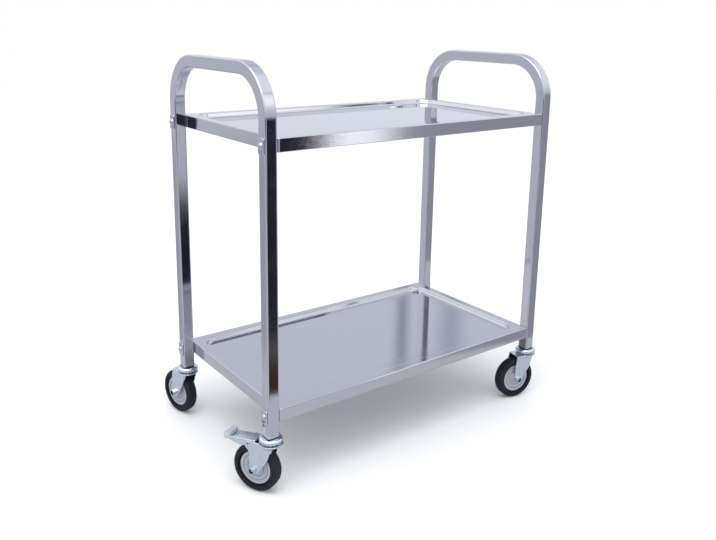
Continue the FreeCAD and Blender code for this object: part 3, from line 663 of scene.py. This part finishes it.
for name, (_, _, _, braked) in CASTERS.items():
    swivel, wheel = name + "_swivel", name + "_wheel"
    caster_ring(name, "race_cup", turned(cup_profile(), columns=96), "frame", "zinc_steel", "swivel_cup")
    caster_ring(name, "ball_race", ball_race(), swivel, "zinc_steel", "swivel_bearing")
    centre = turned(hub_profile(), columns=128)
    # The two fine lines are painted dark as painted shade, in full from half a millimetre below the sunk face.
    lines = np.clip((HUB_FACE - np.abs(centre[..., 2])) / 0.5, 0, 1)
    caster_ring(name, "wheel_centre", laid_on_axle(centre), wheel, "grey_plastic", "wheel_hub", lines)
    tread = turned(tyre_profile(), columns=160)
    # Painted shade: the tread's inner wall round the rim is painted black, fading out over the last millimetre
    # before its radius.
    black = np.clip(RIM_SHADE_RADIUS - np.hypot(tread[..., 0], tread[..., 1]), 0, 1)
    caster_ring(name, "tread", laid_on_axle(tread), wheel, "tyre_rubber", "wheel_tyre", black)
    nut = hexagon_ring(NUT_BORE, FORK_OUTSIDE, FORK_OUTSIDE + NUT_HEIGHT)
    # The nut is painted dark inside the given radius: its nylon ring, and painted shade in the bore.
    nylon_and_bore_shade = np.clip((NYLON_AND_SHADE_RADIUS - np.hypot(nut[..., 0], nut[..., 1])) / 0.1, 0, 1)
    caster_ring(name, "lock_nut", laid_on_axle(nut), swivel, "zinc_steel", "axle_nut", nylon_and_bore_shade)
    # The axle's shank starts half a millimetre inside its head.
    head = hexagon_ring(AXLE_HEAD_BORE, -FORK_OUTSIDE - AXLE_HEAD, -FORK_OUTSIDE)
    shank = threaded_rod(-FORK_OUTSIDE - AXLE_HEAD + 0.5, FORK_OUTSIDE + AXLE_TIP)
    screw = [shell(at_caster(laid_on_axle(head), name), ring=True), shell(at_caster(laid_on_axle(shank), name))]
    piece(name + "_axle_screw", screw, swivel, "zinc_steel", name + "_axle_bolt")
    if braked:
        piece(name + "_ribbed_pad", [shell(at_caster(ribbed_pad(), name))], name + "_pedal", "pale_plastic",
              name + "_brake_tip")

# Light of the room below and above, and how far up the change reaches, in radians.
ROOM_LOW = (0.7, 0.71, 0.78, 1)
ROOM_HIGH = (1.2, 1.21, 1.24, 1)
ROOM_CHANGE = 0.5

# Panels, each laid over those before it: bearing of its left and right edge from the front towards the
# right-hand handle, height of its foot and head from the horizon, softness of its sides, softness of its foot
# and head, all in radians, and its light.
PANELS = (
    # Behind the trolley, a pale sheet that reaches overhead and shows in both pans.
    (1.8, 3.0, 0.035, 2.0, 0.25, 0.085, (0.86, 0.89, 0.97, 1)),
    # Left of the front, dark flags that show in rounded corners between a front and a left-hand face.
    (-0.56, -0.3, -0.27, -0.03, 0.05, 0.04, (0.04, 0.04, 0.05, 1)),
    (-1.15, -0.3, -0.16, -0.02, 0.1, 0.03, (0.05, 0.05, 0.07, 1)),
    # Right of the front, a light strip, a grey wall and low dark flags that show in front faces.
    (0.6, 0.75, -0.42, 0.2, 0.01, 0.04, (1.5, 1.5, 1.54, 1)),
    (0.69, 1.2, -0.6, 0.1, 0.025, 0.06, (0.4, 0.4, 0.47, 1)),
    (0.1, 0.585, -0.42, -0.22, 0.03, 0.03, (0.02, 0.02, 0.035, 1)),
    (0.455, 0.605, -0.42, -0.03, 0.008, 0.07, (0.02, 0.02, 0.035, 1)),
    (0.1, 0.7, -0.6, -0.42, 0.03, 0.03, (0.05, 0.032, 0.026, 1)),
    # Right of the front and high, for front faces that show again in the lower pan.
    (0.35, 0.7, 0.36, 0.72, 0.1, 0.12, (1.55, 1.54, 1.53, 1)),
    (0.3, 0.47, 0.29, 0.42, 0.03, 0.03, (0.55, 0.55, 0.62, 1)),
    (0.72, 0.78, 0.3, 0.7, 0.015, 0.08, (0.2, 0.2, 0.24, 1)),
    # Left of the rear, high for left-hand faces that show again in the lower pan, and low for the faces.
    (-2.7, -2.2, 0.26, 0.6, 0.1, 0.1, (1.3, 1.3, 1.32, 1)),
    (-2.9, -2.52, -0.43, -0.16, 0.06, 0.04, (0.5, 0.5, 0.57, 1)),
    # Right of the rear, a grey cloth with two darker folds that shows in the lower pan.
    (2.05, 2.8, 0.3, 0.8, 0.1, 0.08, (0.76, 0.78, 0.87, 1)),
    (2.346, 2.376, 0.3, 0.8, 0.014, 0.08, (0.5, 0.53, 0.63, 1)),
    (2.421, 2.436, 0.3, 0.8, 0.008, 0.08, (0.34, 0.36, 0.44, 1)),
)


def window(tree, source, low, high, soft):
    """Share that is one while the value lies between low and high, falling to none over soft on each side."""
    rise = add(tree, "ShaderNodeMapRange", {"Value": source, "From Min": low - soft, "From Max": low + soft},
               interpolation_type="SMOOTHSTEP")
    fall = add(tree, "ShaderNodeMapRange", {"Value": source, "From Min": high - soft, "From Max": high + soft,
                                            "To Min": 1.0, "To Max": 0.0}, interpolation_type="SMOOTHSTEP")
    return add(tree, "ShaderNodeMath", {0: (rise, "Result"), 1: (fall, "Result")}, operation="MULTIPLY")


def studio():
    """Soft light from all round, brighter from above, with light and dark panels for the steel to mirror:
    bearing is atan2(x, -y) and height asin(z) of each direction. The camera sees plain white behind."""
    world = bpy.data.worlds.new("studio")
    world.use_nodes = True
    tree = world.node_tree
    tree.nodes.clear()
    place = add(tree, "ShaderNodeTexCoord")
    way = add(tree, "ShaderNodeSeparateXYZ", {"Vector": (place, "Generated")})
    front = add(tree, "ShaderNodeMath", {0: (way, "Y"), 1: -1.0}, operation="MULTIPLY")
    bearing = add(tree, "ShaderNodeMath", {0: (way, "X"), 1: (front, "Value")}, operation="ARCTAN2")
    height = add(tree, "ShaderNodeMath", {0: (way, "Z")}, operation="ARCSINE")
    rise = add(tree, "ShaderNodeMapRange", {"Value": (height, "Value"), "From Min": 0.0,
                                            "From Max": ROOM_CHANGE}, interpolation_type="SMOOTHSTEP")
    colour = add(tree, "ShaderNodeMix", {SHARE: (rise, "Result"), FIRST: ROOM_LOW, SECOND: ROOM_HIGH},
                 data_type="RGBA")
    for left, right, foot, head, soft, fade, light in PANELS:
        across = window(tree, (bearing, "Value"), left, right, soft)
        upright = window(tree, (height, "Value"), foot, head, fade)
        share = add(tree, "ShaderNodeMath", {0: (across, "Value"), 1: (upright, "Value")},
                    operation="MULTIPLY")
        colour = add(tree, "ShaderNodeMix", {SHARE: (share, "Value"), FIRST: (colour, MIXED), SECOND: light},
                     data_type="RGBA")
    seen = add(tree, "ShaderNodeLightPath")
    shown = add(tree, "ShaderNodeMix", {SHARE: (seen, "Is Camera Ray"), FIRST: (colour, MIXED),
                                        SECOND: (1, 1, 1, 1)}, data_type="RGBA")
    background = add(tree, "ShaderNodeBackground", {"Color": (shown, MIXED), "Strength": 1.0})
    add(tree, "ShaderNodeOutputWorld", {"Surface": (background, "Background")})
    bpy.context.scene.world = world


# Sheets on the floor: name, height and corners in metres, and the two colours of the paper's fibres.
FLOOR_SHEETS = (
    ("floor", 0.0, [(-9, -9), (9, -9), (9, 9), (-9, 9)], "#F4F4F5", "#F8F8F9"),
    ("mirrored_paper", 0.0002, [(-0.95, -0.7), (2.2, -0.22), (2.2, 0.56), (-0.55, 0.56)],
     "#BBBBC0", "#C1C1C5"),
)


def pale_floor():
    """Wide pale floor, and a smaller sheet of grey paper that the steel mirrors in its place."""
    for name, rise, corners, dark, light in FLOOR_SHEETS:
        material, tree = finish("paper_" + name)
        place = add(tree, "ShaderNodeTexCoord")
        # Paper fibre clouds about 25 mm across.
        fibre = add(tree, "ShaderNodeTexNoise", {"Vector": (place, "Object"), "Scale": 1 / (25 * MM),
                                                 "Detail": 3.0})
        tint = add(tree, "ShaderNodeMix", {SHARE: (fibre, "Fac"), FIRST: linear(dark), SECOND: linear(light)},
                   data_type="RGBA")
        paper = add(tree, "ShaderNodeBsdfPrincipled", {"Base Color": (tint, MIXED), "Roughness": 0.9})
        add(tree, "ShaderNodeOutputMaterial", {"Surface": (paper, "BSDF")})
        mesh = bpy.data.meshes.new(name)
        mesh.from_pydata([(x, y, rise) for x, y in corners], [], [(0, 1, 2, 3)])
        mesh.materials.append(material)
        sheet = bpy.data.objects.new(name, mesh)
        bpy.context.scene.collection.objects.link(sheet)
        mirrored = name == "mirrored_paper"
        sheet.visible_glossy = mirrored
        sheet.visible_camera = not mirrored
        sheet.visible_diffuse = not mirrored
        sheet.visible_shadow = not mirrored


def soft_lamp(name, place, aim, size, power):
    """Square soft lamp at a place, turned towards a point: tilted by the angle of its way from straight down,
    and turned about Z to the bearing of its way."""
    lamp = bpy.data.lights.new(name, "AREA")
    lamp.shape = "SQUARE"
    lamp.size = size
    lamp.energy = power
    holder = bpy.data.objects.new(name, lamp)
    way = np.array(aim, float) - np.array(place, float)
    flat = math.hypot(way[0], way[1])
    holder.location = place
    holder.rotation_euler = (math.atan2(flat, -way[2]), 0, math.atan2(way[1], way[0]) - math.pi / 2)
    bpy.context.scene.collection.objects.link(holder)


studio()
pale_floor()
soft_lamp("high_lamp", place=(-0.8, -0.6, 3.0), aim=(0, 0, 0.4), size=2.4, power=40)

# The camera that took the photograph, solved from the trolley's straight edges.
camera = bpy.data.objects.new("camera", bpy.data.cameras.new("camera"))
camera.location = (-1.036032, -1.365780, 0.902447)
camera.rotation_euler = (1.337454, -0.012970, -0.630392)
camera.data.sensor_width = 36
camera.data.lens = 38.5427
camera.data.shift_x = 0.016301
camera.data.shift_y = -0.096347
bpy.context.scene.collection.objects.link(camera)
bpy.context.scene.camera = camera
bpy.context.scene.view_settings.view_transform = "Standard"
